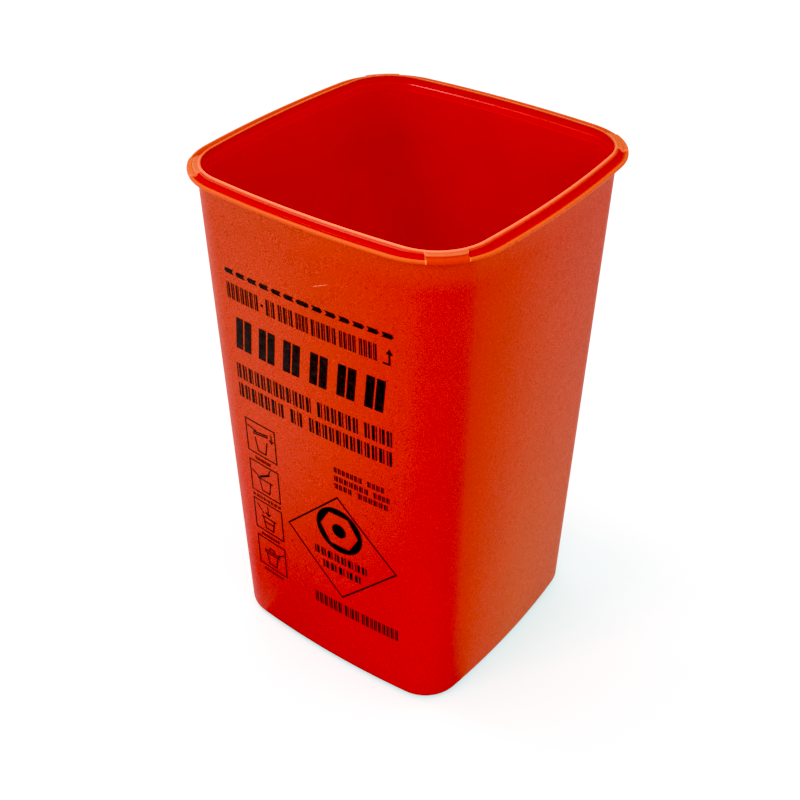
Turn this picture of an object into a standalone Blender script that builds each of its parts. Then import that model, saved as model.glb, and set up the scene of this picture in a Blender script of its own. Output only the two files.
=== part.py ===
"""Square one-litre waste tub: one moulded shell with a snap rim, and the marks printed on its front.

Run with: blender --background --python part.py

Metres, +Z up. The origin is the middle of the foot, on the surface that the tub stands on.
The printed side faces -Y.
"""

import math
from collections import namedtuple

import bmesh
import bpy
from mathutils import Vector

MM = 0.001

# ---------------------------------------------------------------- driving dimensions
HEIGHT = 160 * MM

# Every level of the tub is a square with round corners and slightly bowed sides:
# half its width at mid-side, the radius of its corners, and the radius of its bowed sides.
Outline = namedtuple("Outline", "half corner bow")

WALL_FOOT = Outline(41.9 * MM, 12.4 * MM, 289 * MM)
WALL_TOP = Outline(46.0 * MM, 13.3 * MM, 353 * MM)
NECK_DROP = 2.75 * MM
WALL_THICKNESS = 1.1 * MM

# Foot: a flat standing ring round a shallow recess, with the gate mark in the middle.
FOOT_ROUND = 2.9 * MM
FOOT_RING = 2.8 * MM
FOOT_RECESS = 1.0 * MM
RECESS_DRAFT = 0.4 * MM
FLOOR_THICKNESS = 1.6 * MM
FLOOR_FILLET = 3.2 * MM
GATE_DISH = 5.0 * MM
GATE_DISH_DEPTH = 0.5 * MM
GATE_NIB = 1.3 * MM
GATE_NIB_LENGTH = 0.4 * MM

# Rim: u runs outwards from the inner edge of the lip, v upwards from the top of the lip.
RIM_INNER = Outline(45.6 * MM, 15.0 * MM, 322 * MM)
RIM_OUTER = Outline(50.2 * MM, 22.1 * MM, 327 * MM)
RIM_WIDTH = RIM_OUTER.half - RIM_INNER.half
LIP_ROUND = 0.30 * MM
LIP_INNER_ROUND = 0.15 * MM
LIP_LAND = 0.7 * MM
STEP_DEPTH = 0.32 * MM
STEP_WIDTH = 0.12 * MM
BEAD_ROUND = 0.43 * MM
BEAD_SIDE = 1.68 * MM
CHANNEL_ROUND = 1.1 * MM
CHANNEL_FLOOR = 1.65 * MM
CHANNEL_SWEEP = (-30, -170)
FLANGE_ROUND = 0.48 * MM
FLANGE_LEVEL = 1.58 * MM
FLANGE_SWEEP = (-90, 60)
NECK_FILLET = 0.5 * MM
LIP_FACE = 2.0 * MM
UPPER_LEDGE_FALL = 0.8 * MM
UPPER_LEDGE_SHARE = 0.4
LOWER_LEDGE = 3.9 * MM
LOWER_LEDGE_FALL = 0.6 * MM
LOWER_LEDGE_SHARE = 0.2

# The channel for a lid stops at a solid block in each corner of the rim.
BLOCK_HALF_WIDTH = 5.1 * MM
BLOCK_SMALLEST_CORNER = 15 * MM
BLOCK_END_ANGLE = math.radians(1.2)
BLOCK_LIP_LAND = 0.95 * MM
BLOCK_RISE = 0.3 * MM
BLOCK_POWER = 2.2

SIDE_STEPS = 10
CORNER_STEPS = 2
BLOCK_STEPS = 3
ROUND_STEPS = 2
WIDE_ROUND_STEPS = 4
FILLET_STEPS = 3

# Printed marks: a film of ink just off the front of the wall.
INK_GAP = 0.05 * MM
INK_THICKNESS = 0.1 * MM
INK_STEP = 6.5 * MM

DASH_COUNT = 13
DASH_MIDDLE = 6
DASH_LEFT = -30.1 * MM
DASH_PITCH = 4.45 * MM
DASH_LENGTH = 3.7 * MM
DASH_MIDDLE_EXTRA = 0.8 * MM
DASH_POINT = 0.6 * MM
DASH_LOW = 132.4 * MM
DASH_HIGH = 133.9 * MM

ARROW_STEM = 26.4 * MM
ARROW_LINE = 0.55 * MM
ARROW_FOOT = 24.4 * MM
ARROW_LOW = 124.2 * MM
ARROW_NECK = 127.5 * MM
ARROW_HIGH = 129.3 * MM
ARROW_HEAD = 1.05 * MM

# A row of marks: its lowest and highest z, and where each mark starts and ends along x, in mm.
Row = namedtuple("Row", "name low high spans")
HEADING_LEAN = 1.2 * MM
HEADING = Row("heading_block", 108.2, 118.8,
              ((-28.4, -21.2), (-19.4, -12.2), (-10.2, -3.0), (-0.6, 6.6), (8.8, 16.0), (18.0, 25.2)))
WORD_ROWS = (
    Row("notice_word", 124.3, 129.4,
        ((-30.0, -17.4), (-14.9, -11.2), (-10.4, -4.7), (-4.1, 0.5), (1.2, 9.9), (10.6, 16.3),
         (16.9, 22.8))),
    Row("line_1_word", 97.6, 102.7, ((-29.5, -0.1), (1.5, 16.2), (17.6, 27.2))),
    Row("line_2_word", 90.9, 95.8, ((-29.5, -10.8), (-8.8, -3.8), (-1.9, 27.0))),
    Row("spec_1_word", 80.1, 82.0, ((6.3, 16.4), (18.0, 24.0))),
    Row("spec_2_word", 77.0, 78.9, ((6.3, 18.6), (20.0, 25.7))),
    Row("spec_3_word", 74.2, 76.1, ((6.3, 12.7), (14.7, 25.1))),
    Row("diamond_upper_word", 44.7, 47.7, ((-3.0, 17.3),)),
    Row("diamond_lower_word", 40.1, 43.0, ((0.0, 15.0),)),
    Row("footer_word", 23.1, 27.6, ((-4.1, 7.0), (7.6, 13.5), (14.1, 27.6))),
)
HYPHEN_LEFT = -16.7 * MM
HYPHEN_RIGHT = -15.8 * MM
HYPHEN_LOW = 126.4 * MM
HYPHEN_HIGH = 127.2 * MM

DIAMOND_X = 7.1 * MM
DIAMOND_Z = 50.7 * MM
DIAMOND_HALF = 20.4 * MM
DIAMOND_LINE = 0.8 * MM
SYMBOL_Z = 57.8 * MM
SYMBOL_OUTER = 8.4 * MM
SYMBOL_INNER = 6.9 * MM
SYMBOL_SIDES = 6
SYMBOL_DOT = 2.5 * MM

PICTOGRAM_COUNT = 4
PICTOGRAM_X = -22.0 * MM
PICTOGRAM_TOP = 77.5 * MM
PICTOGRAM_PITCH = 15.45 * MM
PICTOGRAM_HALF = 6.2 * MM
PICTOGRAM_LINE = 0.5 * MM
CAPTION_HALVES = (3.3 * MM, 6.1 * MM, 4.0 * MM, 4.3 * MM)
CAPTION_DROP = 7.3 * MM
CAPTION_HEIGHT = 1.1 * MM

RED = (0.72, 0.03, 0.008, 1.0)
BLACK = (0.012, 0.010, 0.010, 1.0)


# ---------------------------------------------------------------- scene helpers
def clear_scene():
    for thing in list(bpy.data.objects):
        bpy.data.objects.remove(thing, do_unlink=True)


def make_material(name, colour, roughness):
    """A Principled material of its own for one object."""
    material = bpy.data.materials.new(name)
    material.use_nodes = True
    shader = material.node_tree.nodes["Principled BSDF"]
    shader.inputs["Base Color"].default_value = colour
    shader.inputs["Roughness"].default_value = roughness
    shader.inputs["Metallic"].default_value = 0.0
    return material


def add_object(name, bm, collection, colour, roughness):
    mesh = bpy.data.meshes.new(name)
    bm.to_mesh(mesh)
    bm.free()
    mesh.materials.append(make_material(name + "_material", colour, roughness))
    thing = bpy.data.objects.new(name, mesh)
    collection.objects.link(thing)
    return thing


# ---------------------------------------------------------------- outlines
def mix(a, b, t):
    """The outline a fraction t of the way from a to b."""
    return Outline(*(p + (q - p) * t for p, q in zip(a, b)))


def inset(shape, distance):
    return Outline(shape.half - distance, shape.corner - distance, shape.bow - distance)


def wall(z):
    """Outer face of the wall at height z."""
    return mix(WALL_FOOT, WALL_TOP, z / (HEIGHT - NECK_DROP))


def inner_wall(z):
    """Inner face of the wall, which keeps the corner radius and so is thicker in the corners."""
    outer = wall(z)
    return Outline(outer.half - WALL_THICKNESS, outer.corner, outer.bow)


def rim(u):
    return mix(RIM_INNER, RIM_OUTER, u / RIM_WIDTH)


def corner_centre(shape):
    """Distance of a corner arc's centre from both planes of symmetry.

    The corner arc touches the bowed side, whose own centre is at (half - bow, 0).
    """
    back = shape.bow - shape.half
    reach = shape.bow - shape.corner
    return (math.sqrt(2 * reach ** 2 - back ** 2) - back) / 2


def spread(start, end, steps):
    """Evenly spaced values from start to end, both included."""
    return [start + (end - start) * i / steps for i in range(steps + 1)]


def quarter_points(shape):
    """One bowed side on +X and the corner after it, as (x, y, lies in the corner block)."""
    centre = corner_centre(shape)
    side_centre = shape.half - shape.bow
    tangent = math.atan2(centre, centre - side_centre)
    points = []
    for angle in spread(-tangent, tangent, SIDE_STEPS)[1:-1]:
        points.append((side_centre + shape.bow * math.cos(angle), shape.bow * math.sin(angle), False))
    middle = math.pi / 4
    inside = BLOCK_HALF_WIDTH / max(shape.corner, BLOCK_SMALLEST_CORNER)
    outside = inside + BLOCK_END_ANGLE
    before = spread(tangent, middle - outside, CORNER_STEPS)
    within = spread(middle - inside, middle + inside, BLOCK_STEPS)
    after = spread(middle + outside, math.pi / 2 - tangent, CORNER_STEPS)
    for angles, in_block in ((before, False), (within, True), (after, False)):
        for angle in angles:
            x = centre + shape.corner * math.cos(angle)
            y = centre + shape.corner * math.sin(angle)
            points.append((x, y, in_block))
    return points


def outline_points(shape):
    """The whole outline, counter-clockwise seen from above."""
    points = []
    x_axis, y_axis = (1, 0), (0, 1)
    for _ in range(4):
        for x, y, in_block in quarter_points(shape):
            points.append((x * x_axis[0] + y * y_axis[0], x * x_axis[1] + y * y_axis[1], in_block))
        x_axis, y_axis = y_axis, (-x_axis[0], -x_axis[1])
    return points


# ---------------------------------------------------------------- rows of the shell
def level(shape, z):
    """A row of the shell that lies in one plane."""
    return [Vector((x, y, z)) for x, y, _ in outline_points(shape)]


def disc_row(radius, z):
    """A round row with the same number of points as the square ones."""
    row = []
    for point in level(WALL_FOOT, 0.0):
        flat = point.normalized() * radius
        row.append(Vector((flat.x, flat.y, z)))
    return row


def arc(centre_u, centre_v, radius, start, end, steps):
    """Points (u, v) along a circle, from one angle in degrees to another."""
    points = []
    for angle in spread(math.radians(start), math.radians(end), steps):
        points.append((centre_u + radius * math.cos(angle), centre_v + radius * math.sin(angle)))
    return points


def block_section(count):
    """The corner block's top face, from the flange edge in to the step beside the lip."""
    flange_u = RIM_WIDTH - FLANGE_ROUND
    step_u = BLOCK_LIP_LAND + STEP_WIDTH
    low = FLANGE_ROUND - FLANGE_LEVEL + BLOCK_RISE
    points = []
    for t in spread(1, 0, count - 1):
        u = step_u + (flange_u - step_u) * t
        points.append((u, -STEP_DEPTH + (low + STEP_DEPTH) * t ** BLOCK_POWER))
    return points


def channel_section():
    """The lid channel and the bead inside it, from the flange edge in to the step beside the lip."""
    channel_u = BEAD_SIDE + CHANNEL_ROUND
    channel_v = CHANNEL_ROUND - CHANNEL_FLOOR
    flange_u = RIM_WIDTH - FLANGE_ROUND
    points = [(flange_u, FLANGE_ROUND - FLANGE_LEVEL)]
    points += arc(channel_u, channel_v, CHANNEL_ROUND, *CHANNEL_SWEEP, WIDE_ROUND_STEPS)
    points += arc(BEAD_SIDE - BEAD_ROUND, -STEP_DEPTH - BEAD_ROUND, BEAD_ROUND, 0, 90, ROUND_STEPS)
    points.append((LIP_LAND + STEP_WIDTH, -STEP_DEPTH))
    return points


def rim_row(in_channel, in_block):
    """A row of the rim: one (u, v) in the channel, another in the corner blocks."""
    channel_points = outline_points(rim(in_channel[0]))
    block_points = outline_points(rim(in_block[0]))
    row = []
    for channel_point, block_point in zip(channel_points, block_points):
        if block_point[2]:
            row.append(Vector((block_point[0], block_point[1], HEIGHT + in_block[1])))
        else:
            row.append(Vector((channel_point[0], channel_point[1], HEIGHT + in_channel[1])))
    return row


def underside_rows():
    """From the gate mark outwards to the outer edge of the standing ring."""
    dish_top = FOOT_RECESS + GATE_DISH_DEPTH
    foot = inset(wall(FOOT_ROUND), FOOT_ROUND)
    return [
        disc_row(GATE_NIB, dish_top - GATE_NIB_LENGTH),
        disc_row(GATE_NIB, dish_top),
        disc_row(GATE_DISH - GATE_DISH_DEPTH, dish_top),
        disc_row(GATE_DISH, FOOT_RECESS),
        level(inset(foot, FOOT_RING + RECESS_DRAFT), FOOT_RECESS),
        level(inset(foot, FOOT_RING), 0.0),
        level(foot, 0.0),
    ]


def outer_rows():
    """The rounded bottom edge and the wall, up to the root of the flange."""
    rows = []
    for angle in spread(0, math.pi / 2, WIDE_ROUND_STEPS)[1:]:
        shape = inset(wall(FOOT_ROUND), FOOT_ROUND * (1 - math.sin(angle)))
        rows.append(level(shape, FOOT_ROUND * (1 - math.cos(angle))))
    overhang = RIM_WIDTH - FLANGE_ROUND
    neck = wall(HEIGHT - NECK_DROP)
    for angle in spread(0, math.pi / 2, ROUND_STEPS):
        reach = NECK_FILLET * (1 - math.cos(angle)) / overhang
        rise = NECK_FILLET * math.sin(angle)
        rows.append(level(mix(neck, rim(overhang), reach), HEIGHT - NECK_DROP + rise))
    return rows


def rim_rows():
    """Round the flange edge, across the channel or the block, and over the lip."""
    rows = []
    edge = arc(RIM_WIDTH - FLANGE_ROUND, -FLANGE_LEVEL, FLANGE_ROUND, *FLANGE_SWEEP, WIDE_ROUND_STEPS)
    for t, (u, v) in zip(spread(0, 1, WIDE_ROUND_STEPS), edge):
        rows.append(rim_row((u, v), (u, v + BLOCK_RISE * t)))
    channel = channel_section()
    for channel_point, block_point in zip(channel, block_section(len(channel))):
        rows.append(rim_row(channel_point, block_point))
    lip = arc(LIP_LAND - LIP_ROUND, -LIP_ROUND, LIP_ROUND, 0, 90, ROUND_STEPS)
    block_lip = arc(BLOCK_LIP_LAND - LIP_ROUND, -LIP_ROUND, LIP_ROUND, 0, 90, ROUND_STEPS)
    for point, block_point in zip(lip, block_lip):
        rows.append(rim_row(point, block_point))
    for point in arc(LIP_INNER_ROUND, -LIP_INNER_ROUND, LIP_INNER_ROUND, 90, 180, ROUND_STEPS):
        rows.append(rim_row(point, point))
    return rows


def inner_rows():
    """Down the inner face of the lip, over two small ledges, down the wall and into the floor."""
    upper_ledge = HEIGHT - LIP_FACE
    lower_ledge = HEIGHT - LOWER_LEDGE
    floor = FOOT_RECESS + FLOOR_THICKNESS
    top = inner_wall(lower_ledge - LOWER_LEDGE_FALL)
    rows = [
        level(RIM_INNER, upper_ledge),
        level(mix(RIM_INNER, top, UPPER_LEDGE_SHARE), upper_ledge - UPPER_LEDGE_FALL),
        level(mix(RIM_INNER, top, 1 - LOWER_LEDGE_SHARE), lower_ledge),
        level(top, lower_ledge - LOWER_LEDGE_FALL),
    ]
    for angle in spread(0, math.pi / 2, FILLET_STEPS):
        z = floor + FLOOR_FILLET * (1 - math.sin(angle))
        shape = inset(inner_wall(floor + FLOOR_FILLET), FLOOR_FILLET * (1 - math.cos(angle)))
        rows.append(level(shape, z))
    return rows


def make_tub(collection):
    """The moulded shell, lofted from its underside, over the rim and down to its floor."""
    bm = bmesh.new()
    rows = []
    for row in underside_rows() + outer_rows() + rim_rows() + inner_rows():
        rows.append([bm.verts.new(point) for point in row])
    for lower, upper in zip(rows, rows[1:]):
        for i in range(len(lower)):
            bm.faces.new((lower[i - 1], lower[i], upper[i], upper[i - 1]))
    bm.faces.new(reversed(rows[0]))
    bm.faces.new(rows[-1])
    tub = add_object("tub", bm, collection, RED, 0.35)
    tub.data.shade_smooth()
    tub.data.set_sharp_from_angle(angle=math.radians(40))


# ---------------------------------------------------------------- printed marks
def front_y(x, z):
    """Where the front face of the wall lies at x and z."""
    shape = wall(z)
    return shape.bow - shape.half - math.sqrt(shape.bow ** 2 - x ** 2)


def add_mark(name, bm, collection):
    """Lay a flat shape, drawn as x and z, on the front wall and give it the ink's thickness."""
    for vert in bm.verts:
        x, z = vert.co.x, vert.co.y
        vert.co = Vector((x, front_y(x, z) - INK_GAP, z))
    mark = add_object(name, bm, collection, BLACK, 0.45)
    film = mark.modifiers.new("film", "SOLIDIFY")
    film.thickness = INK_THICKNESS
    film.offset = 1.0


def bar(left, right, low, high, lean=0.0):
    """A bar in short lengths that follow the bowed wall; its top leans right by lean."""
    bm = bmesh.new()
    steps = max(1, math.ceil((right - left) / INK_STEP))
    lower = [bm.verts.new((x, low, 0)) for x in spread(left, right, steps)]
    upper = [bm.verts.new((x + lean, high, 0)) for x in spread(left, right, steps)]
    for i in range(steps):
        bm.faces.new((lower[i], lower[i + 1], upper[i + 1], upper[i]))
    return bm


def band(outer, inner):
    """The closed band between two loops with the same number of points."""
    bm = bmesh.new()
    outer = [bm.verts.new((x, z, 0)) for x, z in outer]
    inner = [bm.verts.new((x, z, 0)) for x, z in inner]
    for i in range(len(outer)):
        bm.faces.new((outer[i - 1], outer[i], inner[i], inner[i - 1]))
    return bm


def polygon_loop(corners, steps):
    """The corners joined by straight sides, each cut into the same number of steps."""
    loop = []
    for (x0, z0), (x1, z1) in zip(corners, corners[1:] + corners[:1]):
        for i in range(steps):
            loop.append((x0 + (x1 - x0) * i / steps, z0 + (z1 - z0) * i / steps))
    return loop


def square_loop(x, z, half):
    corners = [(x - half, z - half), (x + half, z - half), (x + half, z + half), (x - half, z + half)]
    return polygon_loop(corners, 2)


def diamond_loop(x, z, half):
    return polygon_loop([(x, z - half), (x + half, z), (x, z + half), (x - half, z)], 4)


def circle_loop(x, z, radius, steps):
    return arc(x, z, radius, 0, 360, steps)[:-1]


def hexagon_loop(x, z, radius, steps):
    return polygon_loop(circle_loop(x, z, radius, SYMBOL_SIDES), steps)


def make_dashes(collection):
    """The fill line: dashes that point away from its middle one, which points both ways."""
    left = DASH_LEFT
    centre = (DASH_LOW + DASH_HIGH) / 2
    for i in range(DASH_COUNT):
        length = DASH_LENGTH
        if i == DASH_MIDDLE:
            length += DASH_MIDDLE_EXTRA
        right = left + length
        left_cut = DASH_POINT if i <= DASH_MIDDLE else 0.0
        left_notch = 0.0 if i <= DASH_MIDDLE else DASH_POINT
        right_cut = DASH_POINT if i >= DASH_MIDDLE else 0.0
        right_notch = 0.0 if i >= DASH_MIDDLE else DASH_POINT
        bm = bmesh.new()
        tail = bm.verts.new((left + left_notch, centre, 0))
        tip = bm.verts.new((right - right_notch, centre, 0))
        low = [bm.verts.new((x, DASH_LOW, 0)) for x in (left + left_cut, right - right_cut)]
        high = [bm.verts.new((x, DASH_HIGH, 0)) for x in (left + left_cut, right - right_cut)]
        bm.faces.new((tail, low[0], low[1], tip))
        bm.faces.new((tail, tip, high[1], high[0]))
        add_mark(f"fill_dash_{i + 1:02d}", bm, collection)
        left = right + DASH_PITCH - DASH_LENGTH


def make_arrow(collection):
    """The arrow beside the notice line: a foot, a stem and a head, in one piece."""
    half = ARROW_LINE / 2
    points = [
        (ARROW_FOOT, ARROW_LOW),
        (ARROW_STEM + half, ARROW_LOW),
        (ARROW_STEM + half, ARROW_NECK),
        (ARROW_STEM + ARROW_HEAD, ARROW_NECK),
        (ARROW_STEM, ARROW_HIGH),
        (ARROW_STEM - ARROW_HEAD, ARROW_NECK),
        (ARROW_STEM - half, ARROW_NECK),
        (ARROW_STEM - half, ARROW_LOW + ARROW_LINE),
        (ARROW_FOOT, ARROW_LOW + ARROW_LINE),
    ]
    bm = bmesh.new()
    bm.faces.new([bm.verts.new((x, z, 0)) for x, z in points])
    add_mark("fill_arrow", bm, collection)


def make_rows(collection):
    """The heading's leaning blocks, and a plain bar for each word of every other row."""
    for number, (left, right) in enumerate(HEADING.spans, 1):
        block = bar(left * MM, right * MM - HEADING_LEAN, HEADING.low * MM, HEADING.high * MM, HEADING_LEAN)
        add_mark(f"{HEADING.name}_{number}", block, collection)
    for row in WORD_ROWS:
        for number, (left, right) in enumerate(row.spans, 1):
            word = bar(left * MM, right * MM, row.low * MM, row.high * MM)
            add_mark(f"{row.name}_{number}", word, collection)
    hyphen = bar(HYPHEN_LEFT, HYPHEN_RIGHT, HYPHEN_LOW, HYPHEN_HIGH)
    add_mark("notice_hyphen", hyphen, collection)


def make_diamond(collection):
    """The diamond; in its upper half, a ring with a hexagonal hole round a dot."""
    outer = diamond_loop(DIAMOND_X, DIAMOND_Z, DIAMOND_HALF)
    inner = diamond_loop(DIAMOND_X, DIAMOND_Z, DIAMOND_HALF - DIAMOND_LINE)
    add_mark("diamond_frame", band(outer, inner), collection)
    outer = circle_loop(DIAMOND_X, SYMBOL_Z, SYMBOL_OUTER, 5 * SYMBOL_SIDES)
    inner = hexagon_loop(DIAMOND_X, SYMBOL_Z, SYMBOL_INNER, 5)
    add_mark("symbol_ring", band(outer, inner), collection)
    dot = bmesh.new()
    dot.faces.new([dot.verts.new((x, z, 0)) for x, z in circle_loop(DIAMOND_X, SYMBOL_Z, SYMBOL_DOT, 24)])
    add_mark("symbol_dot", dot, collection)


def make_pictograms(collection):
    """The column of square frames, each with a caption bar under it."""
    for i in range(PICTOGRAM_COUNT):
        z = PICTOGRAM_TOP - i * PICTOGRAM_PITCH
        outer = square_loop(PICTOGRAM_X, z, PICTOGRAM_HALF)
        inner = square_loop(PICTOGRAM_X, z, PICTOGRAM_HALF - PICTOGRAM_LINE)
        add_mark(f"pictogram_frame_{i + 1}", band(outer, inner), collection)
        left = PICTOGRAM_X - CAPTION_HALVES[i]
        right = PICTOGRAM_X + CAPTION_HALVES[i]
        low = z - CAPTION_DROP - CAPTION_HEIGHT
        add_mark(f"caption_{i + 1}", bar(left, right, low, low + CAPTION_HEIGHT), collection)


def main():
    clear_scene()
    collection = bpy.data.collections.new("waste_tub")
    bpy.context.scene.collection.children.link(collection)
    make_tub(collection)
    make_dashes(collection)
    make_arrow(collection)
    make_rows(collection)
    make_diamond(collection)
    make_pictograms(collection)


main()
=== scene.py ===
"""Looks of the square waste tub: its moulded shell, its print and the studio round it."""

import math
from collections import namedtuple

import bmesh
import bpy
from mathutils import Matrix, Vector


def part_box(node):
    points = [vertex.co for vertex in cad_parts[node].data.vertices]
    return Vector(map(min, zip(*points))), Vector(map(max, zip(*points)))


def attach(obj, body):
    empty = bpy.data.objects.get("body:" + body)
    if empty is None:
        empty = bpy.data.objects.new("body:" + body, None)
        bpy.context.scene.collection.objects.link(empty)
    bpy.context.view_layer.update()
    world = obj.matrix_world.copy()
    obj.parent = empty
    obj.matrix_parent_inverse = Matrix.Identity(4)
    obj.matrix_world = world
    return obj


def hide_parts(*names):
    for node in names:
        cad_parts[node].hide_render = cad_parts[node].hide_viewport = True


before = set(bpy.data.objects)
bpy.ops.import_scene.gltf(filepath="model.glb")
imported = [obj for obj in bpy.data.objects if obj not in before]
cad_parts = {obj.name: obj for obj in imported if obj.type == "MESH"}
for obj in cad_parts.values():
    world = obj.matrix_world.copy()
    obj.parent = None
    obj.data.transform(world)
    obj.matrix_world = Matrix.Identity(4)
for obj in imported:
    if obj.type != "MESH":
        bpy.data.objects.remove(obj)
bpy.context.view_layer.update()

MM = 0.001

# ---------------------------------------------------------------- shell, sized as in the CAD source
HEIGHT = 160 * MM
TUB_MIDDLE = Vector((0, 0, HEIGHT / 2))

Outline = namedtuple("Outline", "half corner bow")

WALL_FOOT = Outline(41.9 * MM, 12.4 * MM, 289 * MM)
WALL_TOP = Outline(46.0 * MM, 13.3 * MM, 353 * MM)
NECK_DROP = 2.75 * MM
WALL_THICKNESS = 1.1 * MM

FOOT_ROUND = 2.9 * MM
FOOT_RING = 2.8 * MM
FOOT_RECESS = 1.0 * MM
RECESS_DRAFT = 0.4 * MM
FLOOR_THICKNESS = 1.6 * MM
FLOOR_FILLET = 3.2 * MM
GATE_DISH = 5.0 * MM
GATE_DISH_DEPTH = 0.5 * MM
GATE_NIB = 1.3 * MM
GATE_NIB_LENGTH = 0.4 * MM

RIM_INNER = Outline(45.6 * MM, 15.0 * MM, 322 * MM)
RIM_OUTER = Outline(50.2 * MM, 22.1 * MM, 327 * MM)
RIM_WIDTH = RIM_OUTER.half - RIM_INNER.half
LIP_ROUND = 0.30 * MM
LIP_INNER_ROUND = 0.15 * MM
LIP_LAND = 0.7 * MM
STEP_DEPTH = 0.32 * MM
STEP_WIDTH = 0.12 * MM
BEAD_ROUND = 0.43 * MM
BEAD_SIDE = 1.68 * MM
CHANNEL_ROUND = 1.1 * MM
CHANNEL_FLOOR = 1.65 * MM
FLANGE_ROUND = 0.48 * MM
FLANGE_LEVEL = 1.58 * MM
NECK_FILLET = 0.5 * MM
LIP_FACE = 2.0 * MM
UPPER_LEDGE_FALL = 0.8 * MM
UPPER_LEDGE_SHARE = 0.4
LOWER_LEDGE = 3.9 * MM
LOWER_LEDGE_FALL = 0.6 * MM
LOWER_LEDGE_SHARE = 0.2

BLOCK_HALF_WIDTH = 5.1 * MM
BLOCK_SMALLEST_CORNER = 15 * MM
BLOCK_END_ANGLE = math.radians(1.2)
BLOCK_LIP_LAND = 0.95 * MM
BLOCK_BEAD = 2.3 * MM
BLOCK_DIP = 0.75 * MM
BLOCK_RISE = 0.3 * MM

# How far each arc of the rim's section runs, in degrees: 0 points outwards and 90 up.
FLANGE_SWEEP = (-90, 60)
CHANNEL_SWEEP = (-30, -170)
BEAD_SWEEP = (0, 90)
BLOCK_BEAD_SWEEP = (-10, 90)
LIP_SWEEP = (0, 90)
LIP_INNER_SWEEP = (90, 180)

SIDE_STEPS = 36
CORNER_STEPS = 7
BLOCK_STEPS = 12
BLOCK_END_STEPS = 3
ROUND_STEPS = 6
WALL_STEPS = 16
BEAD_ROWS = ROUND_STEPS + 2

# ---------------------------------------------------------------- print
INK_SUNK = 0.02 * MM
INK_PROUD = 0.05 * MM
INK_STEP = 1.5 * MM
INK_CUT_TOLERANCE = 1e-7

# ---------------------------------------------------------------- camera, about the middle of the tub
CAMERA_AZIMUTH = math.radians(36.73)
CAMERA_ELEVATION = math.radians(35.325)
CAMERA_ROLL = math.radians(0.264)
CAMERA_DISTANCE = 383.1 * MM
CAMERA_AIM_RIGHT = -2.55 * MM
CAMERA_AIM_UP = -2.15 * MM
CAMERA_LENS = 56.03
CAMERA_SENSOR = 36.0


# ---------------------------------------------------------------- outlines
def mix(a, b, t):
    """The outline a fraction t of the way from a to b."""
    return Outline(*(p + (q - p) * t for p, q in zip(a, b)))


def inset(shape, distance):
    return Outline(shape.half - distance, shape.corner - distance, shape.bow - distance)


def wall(z):
    return mix(WALL_FOOT, WALL_TOP, z / (HEIGHT - NECK_DROP))


def inner_wall(z):
    outer = wall(z)
    return Outline(outer.half - WALL_THICKNESS, outer.corner, outer.bow)


def rim(u):
    return mix(RIM_INNER, RIM_OUTER, u / RIM_WIDTH)


def corner_centre(shape):
    """Distance of a corner arc's centre from both planes of symmetry."""
    back = shape.bow - shape.half
    reach = shape.bow - shape.corner
    return (math.sqrt(2 * reach ** 2 - back ** 2) - back) / 2


def spread(start, end, steps):
    """Evenly spaced values from start to end, both included."""
    return [start + (end - start) * i / steps for i in range(steps + 1)]


def smooth(t):
    return t * t * (3 - 2 * t)


def corner_stations(tangent, radius):
    """Angles round one corner, each with its share of the corner block from 0 to 1."""
    middle = math.pi / 4
    inside = BLOCK_HALF_WIDTH / max(radius, BLOCK_SMALLEST_CORNER)
    outside = inside + BLOCK_END_ANGLE
    rising = spread(0, 1, BLOCK_END_STEPS + 1)[1:-1]
    stations = [(angle, 0.0) for angle in spread(tangent, middle - outside, CORNER_STEPS)]
    stations += [(middle - outside + BLOCK_END_ANGLE * t, smooth(t)) for t in rising]
    stations += [(angle, 1.0) for angle in spread(middle - inside, middle + inside, BLOCK_STEPS)]
    stations += [(middle + inside + BLOCK_END_ANGLE * t, 1 - smooth(t)) for t in rising]
    stations += [(angle, 0.0) for angle in spread(middle + outside, math.pi / 2 - tangent, CORNER_STEPS)]
    return stations


def quarter_points(shape):
    """One bowed side on +X and the corner after it, as (x, y, share of the corner block)."""
    centre = corner_centre(shape)
    side_centre = shape.half - shape.bow
    tangent = math.atan2(centre, centre - side_centre)
    points = []
    for angle in spread(-tangent, tangent, SIDE_STEPS)[1:-1]:
        points.append((side_centre + shape.bow * math.cos(angle), shape.bow * math.sin(angle), 0.0))
    for angle, share in corner_stations(tangent, shape.corner):
        x = centre + shape.corner * math.cos(angle)
        y = centre + shape.corner * math.sin(angle)
        points.append((x, y, share))
    return points


def outline_points(shape):
    """The whole outline, counter-clockwise seen from above."""
    points = []
    x_axis, y_axis = (1, 0), (0, 1)
    for _ in range(4):
        for x, y, share in quarter_points(shape):
            points.append((x * x_axis[0] + y * y_axis[0], x * x_axis[1] + y * y_axis[1], share))
        x_axis, y_axis = y_axis, (-x_axis[0], -x_axis[1])
    return points


# ---------------------------------------------------------------- rows of the shell
# Each point of a row is a place and its glow, a painted glow and painted highlight put in the base colour
# for light soaking through the thin plastic: none in the walls and in the channel's floor, and most in the
# thin ridges of the rim.
LIP_GLOW = 1.0
LIP_INNER_GLOW = 0.35
BEAD_GLOW = 0.10
BLOCK_BEAD_GLOW = 0.5
GROOVE_GLOW = 0.36
FLANGE_GLOW = 0.40
NECK_GLOW = 0.1
CHANNEL_GLOWS = (0.38, -0.38)
BLOCK_GLOW = 0.15
SIDE_BLOCK_GLOW = 0.5
# The painted highlight at the ends of the corner blocks.
BLOCK_END_HIGHLIGHT = 0.7
GLOW_REACH = 0.7 * MM


def level(shape, z, glow=0.0):
    return [(Vector((x, y, z)), glow) for x, y, _ in outline_points(shape)]


def disc_row(radius, z):
    """A round row with the same number of points as the square ones."""
    row = []
    for point, _ in level(WALL_FOOT, 0.0):
        flat = point.normalized() * radius
        row.append((Vector((flat.x, flat.y, z)), 0.0))
    return row


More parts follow.
